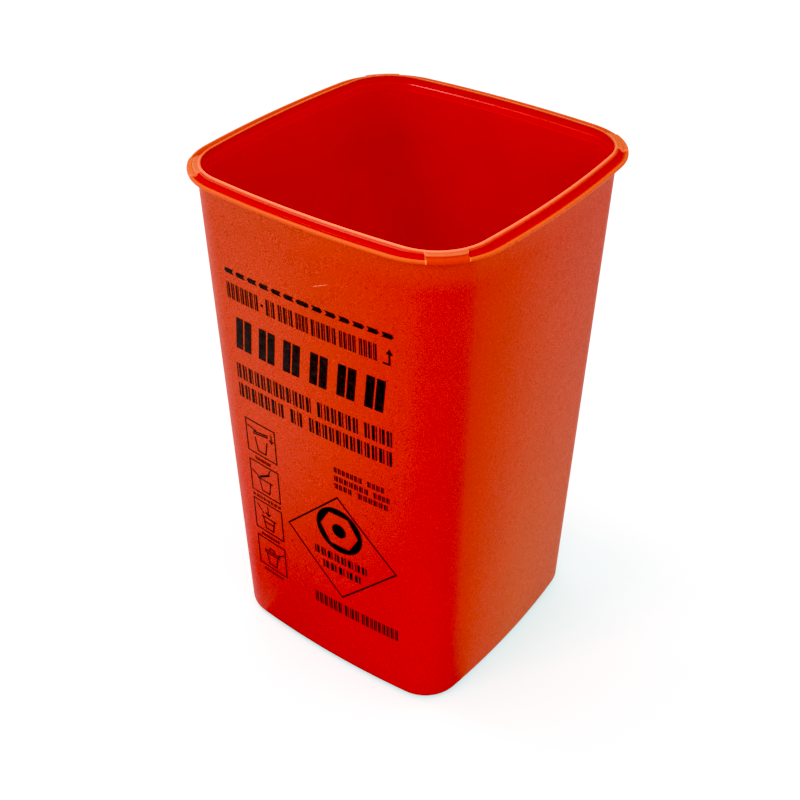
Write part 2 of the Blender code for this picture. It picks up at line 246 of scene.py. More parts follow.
def arc(centre_u, centre_v, radius, sweep, glows, steps):
    """Points (u, v, glow) along a circle, from one angle in degrees to another."""
    points = []
    for t in spread(0, 1, steps):
        angle = math.radians(sweep[0] + (sweep[1] - sweep[0]) * t)
        glow = max(0.0, glows[0] + (glows[1] - glows[0]) * t)
        points.append((centre_u + radius * math.cos(angle), centre_v + radius * math.sin(angle), glow))
    return points


def channel_section():
    """The lid channel and the bead inside it, from the flange edge in to the step beside the lip."""
    channel_u = BEAD_SIDE + CHANNEL_ROUND
    channel_v = CHANNEL_ROUND - CHANNEL_FLOOR
    bead_u = BEAD_SIDE - BEAD_ROUND
    bead_v = -STEP_DEPTH - BEAD_ROUND
    points = [(RIM_WIDTH - FLANGE_ROUND, FLANGE_ROUND - FLANGE_LEVEL, FLANGE_GLOW)]
    points += arc(channel_u, channel_v, CHANNEL_ROUND, CHANNEL_SWEEP, CHANNEL_GLOWS, 2 * ROUND_STEPS)
    points += arc(bead_u, bead_v, BEAD_ROUND, BEAD_SWEEP, (0.0, BEAD_GLOW), ROUND_STEPS)
    points.append((LIP_LAND + STEP_WIDTH, -STEP_DEPTH, GROOVE_GLOW))
    return points


def block_section(count):
    """The corner block, whose sloping shelf stands where the channel is elsewhere."""
    bead_v = -STEP_DEPTH - BEAD_ROUND
    glows = (BLOCK_GLOW, BLOCK_BEAD_GLOW)
    bead = arc(BLOCK_BEAD, bead_v, BEAD_ROUND, BLOCK_BEAD_SWEEP, glows, ROUND_STEPS)
    outside = (RIM_WIDTH - FLANGE_ROUND, FLANGE_ROUND - FLANGE_LEVEL + BLOCK_RISE)
    inside = (bead[0][0] + BEAD_ROUND / 4, -BLOCK_DIP)
    points = []
    for t in spread(0, 1, count - len(bead) - 2):
        u = outside[0] + (inside[0] - outside[0]) * t
        v = outside[1] + (inside[1] - outside[1]) * math.sin(math.pi / 2 * t)
        points.append((u, v, BLOCK_GLOW))
    return points + bead + [(BLOCK_LIP_LAND + STEP_WIDTH, -STEP_DEPTH, GROOVE_GLOW)]


def rim_row(in_channel, in_block, side_glow=None):
    """A row of the rim, which goes from one (u, v, glow) in the channel to another in the corner blocks.

    A side glow, painted light like the rest, takes the place of the block's own in all corners but the
    front one, and gives the ends of the blocks a painted highlight too.
    """
    row = []
    for channel, block in zip(outline_points(rim(in_channel[0])), outline_points(rim(in_block[0]))):
        low = Vector((channel[0], channel[1], HEIGHT + in_channel[1]))
        high = Vector((block[0], block[1], HEIGHT + in_block[1]))
        share = block[2]
        glow = in_block[2]
        end_highlight = 0.0
        if side_glow is not None:
            # Painted highlight: each end of a block is painted lighter, most halfway along its short ramp.
            end_highlight = BLOCK_END_HIGHLIGHT * 4 * share * (1 - share)
            if high.x < 0 or high.y > 0:
                glow = side_glow
        row.append((low.lerp(high, share), in_channel[2] + (glow - in_channel[2]) * share + end_highlight))
    return row


def underside_rows():
    """From the gate mark outwards to the outer edge of the standing ring."""
    dish_top = FOOT_RECESS + GATE_DISH_DEPTH
    foot = inset(wall(FOOT_ROUND), FOOT_ROUND)
    return [
        disc_row(GATE_NIB, dish_top - GATE_NIB_LENGTH),
        disc_row(GATE_NIB, dish_top),
        disc_row(GATE_DISH - GATE_DISH_DEPTH, dish_top),
        disc_row(GATE_DISH, FOOT_RECESS),
        level(inset(foot, FOOT_RING + RECESS_DRAFT), FOOT_RECESS),
        level(inset(foot, FOOT_RING), 0.0),
        level(foot, 0.0),
    ]


def outer_rows():
    """The rounded bottom edge and the wall, up to the root of the flange."""
    rows = []
    for angle in spread(0, math.pi / 2, 2 * ROUND_STEPS)[1:]:
        shape = inset(wall(FOOT_ROUND), FOOT_ROUND * (1 - math.sin(angle)))
        rows.append(level(shape, FOOT_ROUND * (1 - math.cos(angle))))
    for z in spread(FOOT_ROUND, HEIGHT - NECK_DROP, WALL_STEPS)[1:-1]:
        rows.append(level(wall(z), z))
    return rows


def neck_rows():
    """The fillet between the wall and the underside of the flange."""
    rows = []
    overhang = RIM_WIDTH - FLANGE_ROUND
    neck = wall(HEIGHT - NECK_DROP)
    for angle in spread(0, math.pi / 2, ROUND_STEPS):
        reach = NECK_FILLET * (1 - math.cos(angle)) / overhang
        rise = NECK_FILLET * math.sin(angle)
        rows.append(level(mix(neck, rim(overhang), reach), HEIGHT - NECK_DROP + rise, NECK_GLOW))
    return rows


def section_rows():
    """The rows across the channel or the block, from the flange edge in to the step beside the lip."""
    channel = channel_section()
    block = block_section(len(channel))
    return [rim_row(point, block_point, SIDE_BLOCK_GLOW) for point, block_point in zip(channel, block)]


def flange_rows():
    """Round the flange edge and across the channel, up to the foot of the bead."""
    centre_u = RIM_WIDTH - FLANGE_ROUND
    glows = (NECK_GLOW, FLANGE_GLOW)
    edge = arc(centre_u, -FLANGE_LEVEL, FLANGE_ROUND, FLANGE_SWEEP, glows, 2 * ROUND_STEPS)
    rows = []
    for i, (u, v, glow) in enumerate(edge):
        raised = (u, v + BLOCK_RISE * smooth(i / (len(edge) - 1)), min(glow, BLOCK_GLOW))
        rows.append(rim_row((u, v, glow), raised, min(glow, SIDE_BLOCK_GLOW)))
    return rows + section_rows()[:-BEAD_ROWS]


def ridge_rows():
    """Over the bead and the lip."""
    rows = section_rows()[-BEAD_ROWS:]
    glows = (LIP_GLOW, LIP_GLOW)
    lip = arc(LIP_LAND - LIP_ROUND, -LIP_ROUND, LIP_ROUND, LIP_SWEEP, glows, ROUND_STEPS)
    block_lip = arc(BLOCK_LIP_LAND - LIP_ROUND, -LIP_ROUND, LIP_ROUND, LIP_SWEEP, glows, ROUND_STEPS)
    rows += [rim_row(point, block_point) for point, block_point in zip(lip, block_lip)]
    glows = (LIP_INNER_GLOW, LIP_INNER_GLOW)
    inner = arc(LIP_INNER_ROUND, -LIP_INNER_ROUND, LIP_INNER_ROUND, LIP_INNER_SWEEP, glows, ROUND_STEPS)
    return rows + [rim_row(point, point) for point in inner]


def inner_rows():
    """Down the lip's inner face, over two small ledges, down the wall and into the floor."""
    floor = FOOT_RECESS + FLOOR_THICKNESS
    upper = HEIGHT - LIP_FACE
    lower = HEIGHT - LOWER_LEDGE
    top = inner_wall(lower - LOWER_LEDGE_FALL)
    rows = [level(RIM_INNER, HEIGHT - GLOW_REACH)]
    for t in spread(0, 1, 2 * ROUND_STEPS):
        share = UPPER_LEDGE_SHARE * smooth(t)
        rows.append(level(mix(RIM_INNER, top, share), upper - UPPER_LEDGE_FALL * t))
    for t in spread(0, 1, 2 * ROUND_STEPS):
        share = 1 - LOWER_LEDGE_SHARE * (1 - smooth(t))
        rows.append(level(mix(RIM_INNER, top, share), lower - LOWER_LEDGE_FALL * t))
    for z in spread(lower - LOWER_LEDGE_FALL, floor + FLOOR_FILLET, WALL_STEPS)[1:-1]:
        rows.append(level(inner_wall(z), z))
    for angle in spread(0, math.pi / 2, ROUND_STEPS):
        z = floor + FLOOR_FILLET * (1 - math.sin(angle))
        shape = inset(inner_wall(floor + FLOOR_FILLET), FLOOR_FILLET * (1 - math.cos(angle)))
        rows.append(level(shape, z))
    return rows


# ---------------------------------------------------------------- materials
# Most of these reds carry painted light besides the plastic's own colour: painted reflections and shade on
# the outside wall, a painted glow on the rim, painted light low inside and painted glints in the speckle.
LOW_RED = (0.55, 0.005, 0.001, 1.0)
HIGH_RED = (0.50, 0.018, 0.003, 1.0)
FAR_REFLECTION_RED = (0.50, 0.12, 0.003, 1.0)
FRONT_REFLECTION_RED = (0.52, 0.085, 0.03, 1.0)
GRAIN_AND_GLINT_RED = (0.66, 0.22, 0.22, 1.0)
INSIDE_RED = (0.68, 0.006, 0.001, 1.0)
DEEP_RED = (0.96, 0.004, 0.001, 1.0)
RIM_RED = (0.58, 0.012, 0.001, 1.0)
# The colours of the painted glow: on the rim's ridges and at the top of the wall.
GLOW_RED = (0.68, 0.15, 0.052, 1.0)
LIP_RED = (0.88, 0.22, 0.12, 1.0)
SCUFF_RED = (0.80, 0.22, 0.14, 1.0)
BLACK = (0.012, 0.023, 0.025, 1.0)
THIN_BLACK = (0.035, 0.028, 0.030, 1.0)
WARM_SHEEN = (1.0, 0.85, 0.45, 1.0)

# Specular levels.
SATIN_SHEEN = 0.135
FLANGE_SHEEN = 0.1
RIDGE_SHEEN = 0.38
GLOSS_SHEEN = 0.5
INK_SHEEN = 0.12

SPECKLE = 3800
SCUFF_CENTRE = Vector((5.2, -45.4, 140.8)) * MM
SCUFF_SIZE = Vector((3.6, 4.0, 0.2)) * MM
SCUFF_LEAN = math.radians(-24)

# Where the colour changes, all as painted light and shade except how strong the speckle is: RISE is up
# the tub, DEPTH along Y, SPAN along X, and CORNER along X - Y, which is greatest at the tub's front corner.
HIGH_RED_RISE = (20 * MM, 130 * MM)
GLOW_RISE = (148 * MM, 158 * MM)
FAR_REFLECTION_DEPTH = (-42 * MM, 0.0)
FAR_REFLECTION_RISE = (30 * MM, 150 * MM)
FRONT_REFLECTION_SPAN = (-20 * MM, 44 * MM)
FRONT_REFLECTION_RISE = (20 * MM, 90 * MM)
CORNER_SHADE_SPAN = (0.0, 85 * MM)
CORNER_GRAIN_SPAN = (40 * MM, 85 * MM)
INSIDE_RED_RISE = (80 * MM, 140 * MM)

NOISE_RANGE = (0.3, 0.7)
NOISE_ROUGHNESS = 0.6


def new_material(name):
    """A material with its node tree and its shader."""
    material = bpy.data.materials.new(name)
    material.use_nodes = True
    tree = material.node_tree
    return material, tree, tree.nodes["Principled BSDF"]


def object_coordinates(tree):
    return tree.nodes.new("ShaderNodeTexCoord").outputs["Object"]


def place(tree, *axis):
    """The dot product of an axis and the place, which is measured from the middle of the foot."""
    node = tree.nodes.new("ShaderNodeVectorMath")
    node.operation = "DOT_PRODUCT"
    node.inputs[1].default_value = axis
    tree.links.new(object_coordinates(tree), node.inputs[0])
    return node.outputs["Value"]


def noise(tree, scale, detail):
    """Noise with so many features to a metre."""
    texture = tree.nodes.new("ShaderNodeTexNoise")
    texture.inputs["Scale"].default_value = scale
    texture.inputs["Detail"].default_value = detail
    texture.inputs["Roughness"].default_value = NOISE_ROUGHNESS
    tree.links.new(object_coordinates(tree), texture.inputs["Vector"])
    return texture.outputs["Fac"]


def spot(tree, centre, size, lean):
    """One inside a thin ellipsoid, fading to nothing at its surface."""
    mapping = tree.nodes.new("ShaderNodeMapping")
    mapping.vector_type = "TEXTURE"
    mapping.inputs["Location"].default_value = centre
    mapping.inputs["Rotation"].default_value = (0, lean, 0)
    mapping.inputs["Scale"].default_value = size
    tree.links.new(object_coordinates(tree), mapping.inputs["Vector"])
    length = tree.nodes.new("ShaderNodeVectorMath")
    length.operation = "LENGTH"
    tree.links.new(mapping.outputs["Vector"], length.inputs[0])
    return ramp(tree, length.outputs["Value"], 0.4, 1.0, 1.0, 0.0)


def ramp(tree, value, low, high, to_low=0.0, to_high=1.0):
    """Maps value from low..high to to_low..to_high, and holds it there outside."""
    node = tree.nodes.new("ShaderNodeMapRange")
    node.inputs["From Min"].default_value = low
    node.inputs["From Max"].default_value = high
    node.inputs["To Min"].default_value = to_low
    node.inputs["To Max"].default_value = to_high
    tree.links.new(value, node.inputs["Value"])
    return node.outputs["Result"]


def mottle(tree, scale, detail, low, high):
    """Noise that runs from low to high."""
    return ramp(tree, noise(tree, scale, detail), *NOISE_RANGE, low, high)


def times(tree, first, second):
    node = tree.nodes.new("ShaderNodeMath")
    node.operation = "MULTIPLY"
    tree.links.new(first, node.inputs[0])
    tree.links.new(second, node.inputs[1])
    return node.outputs["Value"]


def blend_colour(tree, factor, first, second):
    """A mix of two colours, each a plain colour or another node's output."""
    node = tree.nodes.new("ShaderNodeMix")
    node.data_type = "RGBA"
    tree.links.new(factor, node.inputs["Factor"])
    for name, colour in (("A", first), ("B", second)):
        socket = next(s for s in node.inputs if s.name == name and s.type == "RGBA")
        if isinstance(colour, tuple):
            socket.default_value = colour
        else:
            tree.links.new(colour, socket)
    return next(s for s in node.outputs if s.type == "RGBA")


def shade(tree, colour, value):
    """The colour made darker or lighter by a value about one."""
    node = tree.nodes.new("ShaderNodeVectorMath")
    node.operation = "SCALE"
    tree.links.new(colour, node.inputs["Vector"])
    tree.links.new(value, node.inputs["Scale"])
    return node.outputs["Vector"]


def bump(tree, height_value, distance, strength):
    node = tree.nodes.new("ShaderNodeBump")
    node.inputs["Distance"].default_value = distance
    node.inputs["Strength"].default_value = strength
    tree.links.new(height_value, node.inputs["Height"])
    return node.outputs["Normal"]


def paint_glow(tree, colour):
    """The colour, made lighter by the shell's painted glow: first towards a glowing orange red and then
    towards a pinkish lip red.
    """
    node = tree.nodes.new("ShaderNodeAttribute")
    node.attribute_name = "glow"
    glow = node.outputs["Fac"]
    colour = blend_colour(tree, ramp(tree, glow, 0.0, 0.5), colour, GLOW_RED)
    return blend_colour(tree, ramp(tree, glow, 0.5, 1.0), colour, LIP_RED)


def finish_shader(tree, shader, colour, roughness, normal, sheen):
    """Wires up a plastic or an ink; the sheen is its specular level."""
    tree.links.new(colour, shader.inputs["Base Color"])
    tree.links.new(roughness, shader.inputs["Roughness"])
    tree.links.new(normal, shader.inputs["Normal"])
    shader.inputs["Specular IOR Level"].default_value = sheen


def satin_plastic():
    """The outside: spark-eroded satin with a fine speckle and one scuff, and with painted light: a painted
    glow towards the rim, painted reflections up the wall, on the far side and on the front, painted shade
    away from the front corner, and painted glints in the speckle.
    """
    material, tree, shader = new_material("tub_satin")
    height = place(tree, 0, 0, 1)
    corner = place(tree, 1, -1, 0)
    # Painted reflection: the wall is painted more orange towards the top.
    colour = blend_colour(tree, ramp(tree, height, *HIGH_RED_RISE), LOW_RED, HIGH_RED)
    # Painted glow: the top of the wall is painted lighter and more orange towards the rim.
    colour = blend_colour(tree, ramp(tree, height, *GLOW_RISE, 0.0, 0.22), colour, GLOW_RED)

    # Painted reflection: the far part of the side walls is painted more orange, most low down.
    far_reflection = ramp(tree, place(tree, 0, 1, 0), *FAR_REFLECTION_DEPTH)
    far_reflection = times(tree, far_reflection, ramp(tree, height, *FAR_REFLECTION_RISE, 0.5, 0.14))
    colour = blend_colour(tree, far_reflection, colour, FAR_REFLECTION_RED)
    # Painted reflection: a pool of lighter, pinker colour towards -X and up the wall, on the front's upper
    # left.
    front = ramp(tree, place(tree, 1, 0, 0), *FRONT_REFLECTION_SPAN, 0.45, 0.0)
    front = times(tree, front, ramp(tree, height, *FRONT_REFLECTION_RISE))
    colour = blend_colour(tree, front, colour, FRONT_REFLECTION_RED)
    # Painted light and shade: lighter towards the front corner and darker away from it.
    colour = shade(tree, colour, ramp(tree, corner, *CORNER_SHADE_SPAN, 0.91, 1.07))
    colour = shade(tree, colour, mottle(tree, 45, 3, 0.97, 1.03))

    speckle = noise(tree, SPECKLE, 2)
    contrast = ramp(tree, speckle, *NOISE_RANGE, -0.22, 0.22)
    contrast = times(tree, contrast, ramp(tree, corner, *CORNER_GRAIN_SPAN, 1.6, 0.8))
    one_and_contrast = ramp(tree, contrast, -1.0, 1.0, 0.0, 2.0)
    colour = shade(tree, colour, one_and_contrast)
    # Pinkish specks: part the plastic's own speckle, part painted glints.
    grain_and_glint = ramp(tree, speckle, 0.35, 0.7, 0.0, 0.16)
    grain_and_glint = times(tree, grain_and_glint, ramp(tree, corner, *CORNER_GRAIN_SPAN, 1.2, 0.5))
    colour = blend_colour(tree, grain_and_glint, colour, GRAIN_AND_GLINT_RED)
    scuff = spot(tree, SCUFF_CENTRE, SCUFF_SIZE, SCUFF_LEAN)
    scuff = times(tree, scuff, ramp(tree, noise(tree, 900, 2), 0.3, 0.5))
    colour = blend_colour(tree, scuff, colour, SCUFF_RED)

    normal = bump(tree, speckle, 0.08 * MM, 0.5)
    finish_shader(tree, shader, colour, mottle(tree, 700, 3, 0.38, 0.50), normal, SATIN_SHEEN)
    shader.inputs["Specular Tint"].default_value = WARM_SHEEN
    return material


def rim_plastic(name, sheen):
    """The rim: polished in the tool, with fine marks, and with a painted glow and painted highlights along
    its ridges, painted as if lit from within.
    """
    material, tree, shader = new_material(name)
    colour = blend_colour(tree, mottle(tree, 60, 3, 0.0, 0.2), RIM_RED, HIGH_RED)
    colour = shade(tree, paint_glow(tree, colour), mottle(tree, 1100, 3, 0.95, 1.05))
    normal = bump(tree, noise(tree, 500, 2), 0.04 * MM, 0.15)
    finish_shader(tree, shader, colour, mottle(tree, 300, 3, 0.22, 0.34), normal, sheen)
    return material


def gloss_plastic():
    """The inside: polished, with a faint ripple, and painted lighter low down, a painted light for light
    that comes in by the wall.
    """
    material, tree, shader = new_material("tub_gloss")
    height = place(tree, 0, 0, 1)
    # Painted light: the inside is painted lighter low down, as if light came in through the wall.
    colour = blend_colour(tree, ramp(tree, height, *INSIDE_RED_RISE), DEEP_RED, INSIDE_RED)
    colour = shade(tree, paint_glow(tree, colour), mottle(tree, 60, 3, 0.97, 1.02))
    normal = bump(tree, noise(tree, 90, 2), 0.1 * MM, 0.04)
    finish_shader(tree, shader, colour, mottle(tree, 300, 3, 0.11, 0.17), normal, GLOSS_SHEEN)
    return material


def ink():
    """Screen-printing ink: nearly black, thinner and redder where the screen left less of it."""
    material, tree, shader = new_material("ink")
    colour = blend_colour(tree, ramp(tree, noise(tree, 900, 4), 0.52, 0.75), BLACK, THIN_BLACK)
    normal = bump(tree, noise(tree, 1800, 3), 0.04 * MM, 0.4)
    finish_shader(tree, shader, colour, mottle(tree, 500, 3, 0.45, 0.6), normal, INK_SHEEN)
    return material


# ---------------------------------------------------------------- pieces
def add_piece(name, bm, materials, slot, *nodes):
    """A piece of the object that rides on the tub's body and stands for the CAD nodes."""
    mesh = bpy.data.meshes.new(name)
    bm.to_mesh(mesh)
    bm.free()
    for material in materials:
        mesh.materials.append(material)
    piece = bpy.data.objects.new(name, mesh)
    bpy.context.scene.collection.objects.link(piece)
    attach(piece, "root")
    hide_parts(*nodes)
    return piece


SHARP_ANGLE = math.radians(40)


def make_shell():
    """The moulded tub, lofted from its underside, over the rim and down to its floor."""
    bm = bmesh.new()
    glow_layer = bm.verts.layers.float.new("glow")
    materials = (
        satin_plastic(),
        rim_plastic("tub_flange", FLANGE_SHEEN),
        rim_plastic("tub_ridge", RIDGE_SHEEN),
        gloss_plastic(),
    )
    sections = (
        underside_rows() + outer_rows(),
        neck_rows() + flange_rows(),
        ridge_rows(),
        inner_rows(),
    )
    rows = []
    looks = []
    for look, section in enumerate(sections):
        for row in section:
            verts = []
            for point, glow in row:
                vert = bm.verts.new(point)
                vert[glow_layer] = glow
                verts.append(vert)
            rows.append(verts)
            looks.append(look)
    for lower, upper, look in zip(rows, rows[1:], looks):
        for i in range(len(lower)):
            face = bm.faces.new((lower[i - 1], lower[i], upper[i], upper[i - 1]))
            face.material_index = look
    bm.faces.new(reversed(rows[0]))
    bm.faces.new(rows[-1]).material_index = len(materials) - 1
    shell = add_piece("tub_shell", bm, materials, "tub", "tub")
    shell.data.shade_smooth()
    shell.data.set_sharp_from_angle(angle=SHARP_ANGLE)


def front_y(x, z):
    """Where the front face of the wall lies at x and z."""
    shape = wall(z)
    return shape.bow - shape.half - math.sqrt(shape.bow ** 2 - x ** 2)


def print_mark(node, shapes, material):
    """Prints flat shapes, each a list of (x, z), on the front wall as one thin closed film."""
    bm = bmesh.new()
    for shape in shapes:
        bm.faces.new([bm.verts.new((x, z, 0)) for x, z in shape])
    lay_film(node, bm, material)


def lay_film(node, bm, material):
    """Cuts flat faces, drawn as (x, z, 0), into upright strips and bends them onto the wall as a film."""
    low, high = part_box(node)
    x = low.x + INK_STEP
    while x < high.x:
        everything = bm.verts[:] + bm.edges[:] + bm.faces[:]
        cut = {"dist": INK_CUT_TOLERANCE, "plane_co": (x, 0, 0), "plane_no": (1, 0, 0)}
        bmesh.ops.bisect_plane(bm, geom=everything, **cut)
        x += INK_STEP
    for vert in bm.verts:
        x, z = vert.co.x, vert.co.y
        vert.co = Vector((x, front_y(x, z) + INK_SUNK, z))
    piece = add_piece("ink_" + node, bm, (material,), "ink", node)
    film = piece.modifiers.new("film", "SOLIDIFY")
    film.thickness = INK_SUNK + INK_PROUD
    film.offset = 1.0


def extent(node):
    """The lowest and highest x and z of a printed CAD node."""
    low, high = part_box(node)
    return low.x, high.x, low.z, high.z


def box_shape(left, right, low, high, lean=0.0):
    return [(left, low), (right, low), (right + lean, high), (left + lean, high)]


CAPTION_COUNT = 4

# How many letters the real print has in each word: each becomes a pair of upright strokes.
LETTERS = {
    "notice_word": (7, 2, 3, 4, 5, 4, 4),
    "line_1_word": (12, 6, 4),
    "line_2_word": (7, 2, 12),
    "spec_1_word": (7, 4),
    "spec_2_word": (7, 4),
    "spec_3_word": (4, 6),
    "diamond_upper_word": (8,),
    "diamond_lower_word": (5,),
    "footer_word": (6, 3, 9),
    "caption": (8,) * CAPTION_COUNT,
}
# Where a letter's two strokes start and end, as shares of the letter's width.
STROKES = ((0.10, 0.42, 0.58, 0.78), (0.12, 0.30, 0.46, 0.80), (0.10, 0.50, 0.64, 0.78))

HEADING_COUNT = 6
HEADING_LEAN = 1.2 * MM
HEADING_SLIT = 0.6 * MM

# The dashes point away from the middle one, which points both ways, and their other ends are notched.
DASH_COUNT = 13
DASH_MIDDLE = 7
DASH_POINT = 0.6 * MM


def make_word(node, count, number, material):
    left, right, low, high = extent(node)
    cell = (right - left) / count
    shapes = []
    for i in range(count):
        start = left + cell * i
        edges = [start + cell * share for share in STROKES[(i * 2 + number) % len(STROKES)]]
        shapes.append(box_shape(edges[0], edges[1], low, high))
        shapes.append(box_shape(edges[2], edges[3], low, high))
    print_mark(node, shapes, material)


def make_words(material):
    for row, counts in LETTERS.items():
        for number, count in enumerate(counts, 1):
            make_word(f"{row}_{number}", count, number, material)


def make_plain_marks(material):
    """The fill line, the hyphen and the heading's leaning bars."""
    print_mark("notice_hyphen", [box_shape(*extent("notice_hyphen"))], material)
    for number in range(1, HEADING_COUNT + 1):
        node = f"heading_block_{number}"
        left, right, low, high = extent(node)
        right -= HEADING_LEAN
        middle = (left + right) / 2
        first = box_shape(left, middle - HEADING_SLIT / 2, low, high, HEADING_LEAN)
        second = box_shape(middle + HEADING_SLIT / 2, right, low, high, HEADING_LEAN)
        print_mark(node, [first, second], material)
    for number in range(1, DASH_COUNT + 1):
        node = f"fill_dash_{number:02d}"
        left, right, low, high = extent(node)
        centre = (low + high) / 2
        tail = left if number <= DASH_MIDDLE else left + DASH_POINT
        body_left = left + DASH_POINT if number <= DASH_MIDDLE else left
        tip = right if number >= DASH_MIDDLE else right - DASH_POINT
        body_right = right - DASH_POINT if number >= DASH_MIDDLE else right
        upper = [(tail, centre), (tip, centre), (body_right, high), (body_left, high)]
        lower = [(tail, centre), (body_left, low), (body_right, low), (tip, centre)]
        print_mark(node, [upper, lower], material)


ARROW_LINE = 0.55 * MM
ARROW_HEAD = 1.05 * MM
ARROW_NECK = 1.8 * MM
DIAMOND_LINE = 0.75 * MM
RING_HOLE = 6.9 * MM
RING_SIDES = 6
RING_SIDE_STEPS = 12
DOT_STEPS = 48
FRAME_LINE = 0.46 * MM
GLYPH_LINE = 0.46 * MM


def stroke(points, width):
    """A line through the points as one flat shape per length, each run on to close the corners."""
    shapes = []
    for (x0, z0), (x1, z1) in zip(points, points[1:]):
        run, rise = x1 - x0, z1 - z0
        length = math.hypot(run, rise)
        along = (run / length * width / 2, rise / length * width / 2)
        across = (-along[1], along[0])
        x0, z0, x1, z1 = x0 - along[0], z0 - along[1], x1 + along[0], z1 + along[1]
        shapes.append([
            (x0 - across[0], z0 - across[1]),
            (x1 - across[0], z1 - across[1]),
            (x1 + across[0], z1 + across[1]),
            (x0 + across[0], z0 + across[1]),
        ])
    return shapes


def band(outer, inner):
    """The band between two loops with the same number of points, as one flat shape per length."""
    shapes = []
    for i in range(len(outer)):
        shapes.append([outer[i - 1], outer[i], inner[i], inner[i - 1]])
    return shapes


def loop(x, z, radius, count, start=0.0):
    """The corners of a regular shape, from the angle start on."""
    angles = [start + 2 * math.pi / count * i for i in range(count)]
    return [(x + radius * math.cos(angle), z + radius * math.sin(angle)) for angle in angles]


def hexagon(x, z, radius, steps):
    """A loop round a hexagon, with so many points along each side."""
    corners = loop(x, z, radius, RING_SIDES)
    points = []
    for (x0, z0), (x1, z1) in zip(corners, corners[1:] + corners[:1]):
        points += [(x0 + (x1 - x0) * i / steps, z0 + (z1 - z0) * i / steps) for i in range(steps)]
    return points


def make_outlines(material):
    """The arrow, the diamond, and in it a ring with a hexagonal hole round a dot."""
    left, right, low, high = extent("fill_arrow")
    stem = right - ARROW_HEAD
    half = ARROW_LINE / 2
    head = [(stem - ARROW_HEAD, high - ARROW_NECK), (right, high - ARROW_NECK), (stem, high)]
    shaft = box_shape(stem - half, stem + half, low, high - ARROW_NECK)
    foot = box_shape(left, stem - half, low, low + ARROW_LINE)
    print_mark("fill_arrow", [head, shaft, foot], material)

    left, right, low, high = extent("diamond_frame")
    x, z, reach = (left + right) / 2, (low + high) / 2, (right - left) / 2
    outer, inner = loop(x, z, reach, 4), loop(x, z, reach - DIAMOND_LINE, 4)
    print_mark("diamond_frame", band(outer, inner), material)

    left, right, low, high = extent("symbol_ring")
    x, z, reach = (left + right) / 2, (low + high) / 2, (right - left) / 2
    outer = loop(x, z, reach, RING_SIDE_STEPS * RING_SIDES)
    print_mark("symbol_ring", band(outer, hexagon(x, z, RING_HOLE, RING_SIDE_STEPS)), material)
    left, right, _, _ = extent("symbol_dot")
    print_mark("symbol_dot", [loop(x, z, (right - left) / 2, DOT_STEPS)], material)


def glyph_shapes(number, x, z, reach):
    """A tub seen from the side in one of four states, drawn in lines: each place is a share of reach."""
    tub = [(-0.42, 0.0), (-0.28, -0.78), (0.28, -0.78), (0.42, 0.0)]
    lines = [tub]
    if number == 1:
        lines += [[(-0.5, 0.28), (0.5, 0.44)], [(-0.5, 0.40), (0.5, 0.56)], [(0.78, 0.7), (0.78, 0.2)]]
        lines += [[(0.66, 0.34), (0.78, 0.2), (0.90, 0.34)], [(-0.9, 0.62), (-0.34, 0.5)]]
    elif number == 2:
        lines += [[(-0.52, 0.0), (0.52, 0.0)], [(-0.4, 0.06), (0.36, 0.52)]]
        lines += [[(-0.34, 0.16), (0.3, 0.54)], [(0.3, 0.54), (0.46, 0.9)], [(-0.9, 0.34), (-0.5, 0.12)]]
    elif number == 3:
        lines += [[(-0.52, 0.0), (0.52, 0.0)], [(-0.36, -0.34), (0.36, -0.34)]]
        lines += [[(0.0, 0.86), (0.0, 0.2)], [(-0.16, 0.38), (0.0, 0.2), (0.16, 0.38)]]
        lines += [[(-0.8, 0.7), (-0.36, 0.24)]]
    else:
        lines += [[(-0.52, 0.02), (0.52, 0.02)]]
        lines += [[(-0.52, 0.02), (-0.52, 0.18), (0.52, 0.18), (0.52, 0.02)]]
        lines += [[(-0.24, 0.18), (-0.16, 0.42), (0.16, 0.42), (0.24, 0.18)], [(0.9, 0.5), (0.52, 0.24)]]
    shapes = []
    for line in lines:
        shapes += stroke([(x + u * reach, z + v * reach) for u, v in line], GLYPH_LINE)
    return shapes


def make_pictograms(material):
    for number in range(1, CAPTION_COUNT + 1):
        node = f"pictogram_frame_{number}"
        left, right, low, high = extent(node)
        x, z, reach = (left + right) / 2, (low + high) / 2, (right - left) / 2
        corner = math.pi / 4
        outer = loop(x, z, reach * math.sqrt(2), 4, corner)
        inner = loop(x, z, (reach - FRAME_LINE) * math.sqrt(2), 4, corner)
        shapes = band(outer, inner) + glyph_shapes(number, x, z, reach - FRAME_LINE)
        print_mark(node, shapes, material)


black = ink()
make_shell()
make_words(black)
make_plain_marks(black)
make_outlines(black)
make_pictograms(black)


# ---------------------------------------------------------------- studio
# The floor gives back less green and blue than red, and a lamp under it makes up the difference, so
# that the red light the tub throws on it leaves it neutral.
FLOOR_DARK = (0.88, 0.36, 0.36, 1.0)
FLOOR_PALE = (0.90, 0.38, 0.38, 1.0)
FLOOR_LIGHT = (0.05, 0.612, 0.616, 1.0)
FLOOR_LEVEL = -0.02 * MM
FLOOR_REACH = 3.0

# Each softbox: its azimuth and elevation in degrees, its side and its power.
SOFTBOXES = {
    "left_softbox": (-20, 32, 0.34, 1.65),
    "high_softbox": (-80, 60, 0.22, 1.5),
    "right_softbox": (75, 40, 0.26, 1.1),
}
SOFTBOX_DISTANCE = 1.0
SKY_STRENGTH = 1.06
BLACK_LEVEL = (0.03, 0.045, 0.048)

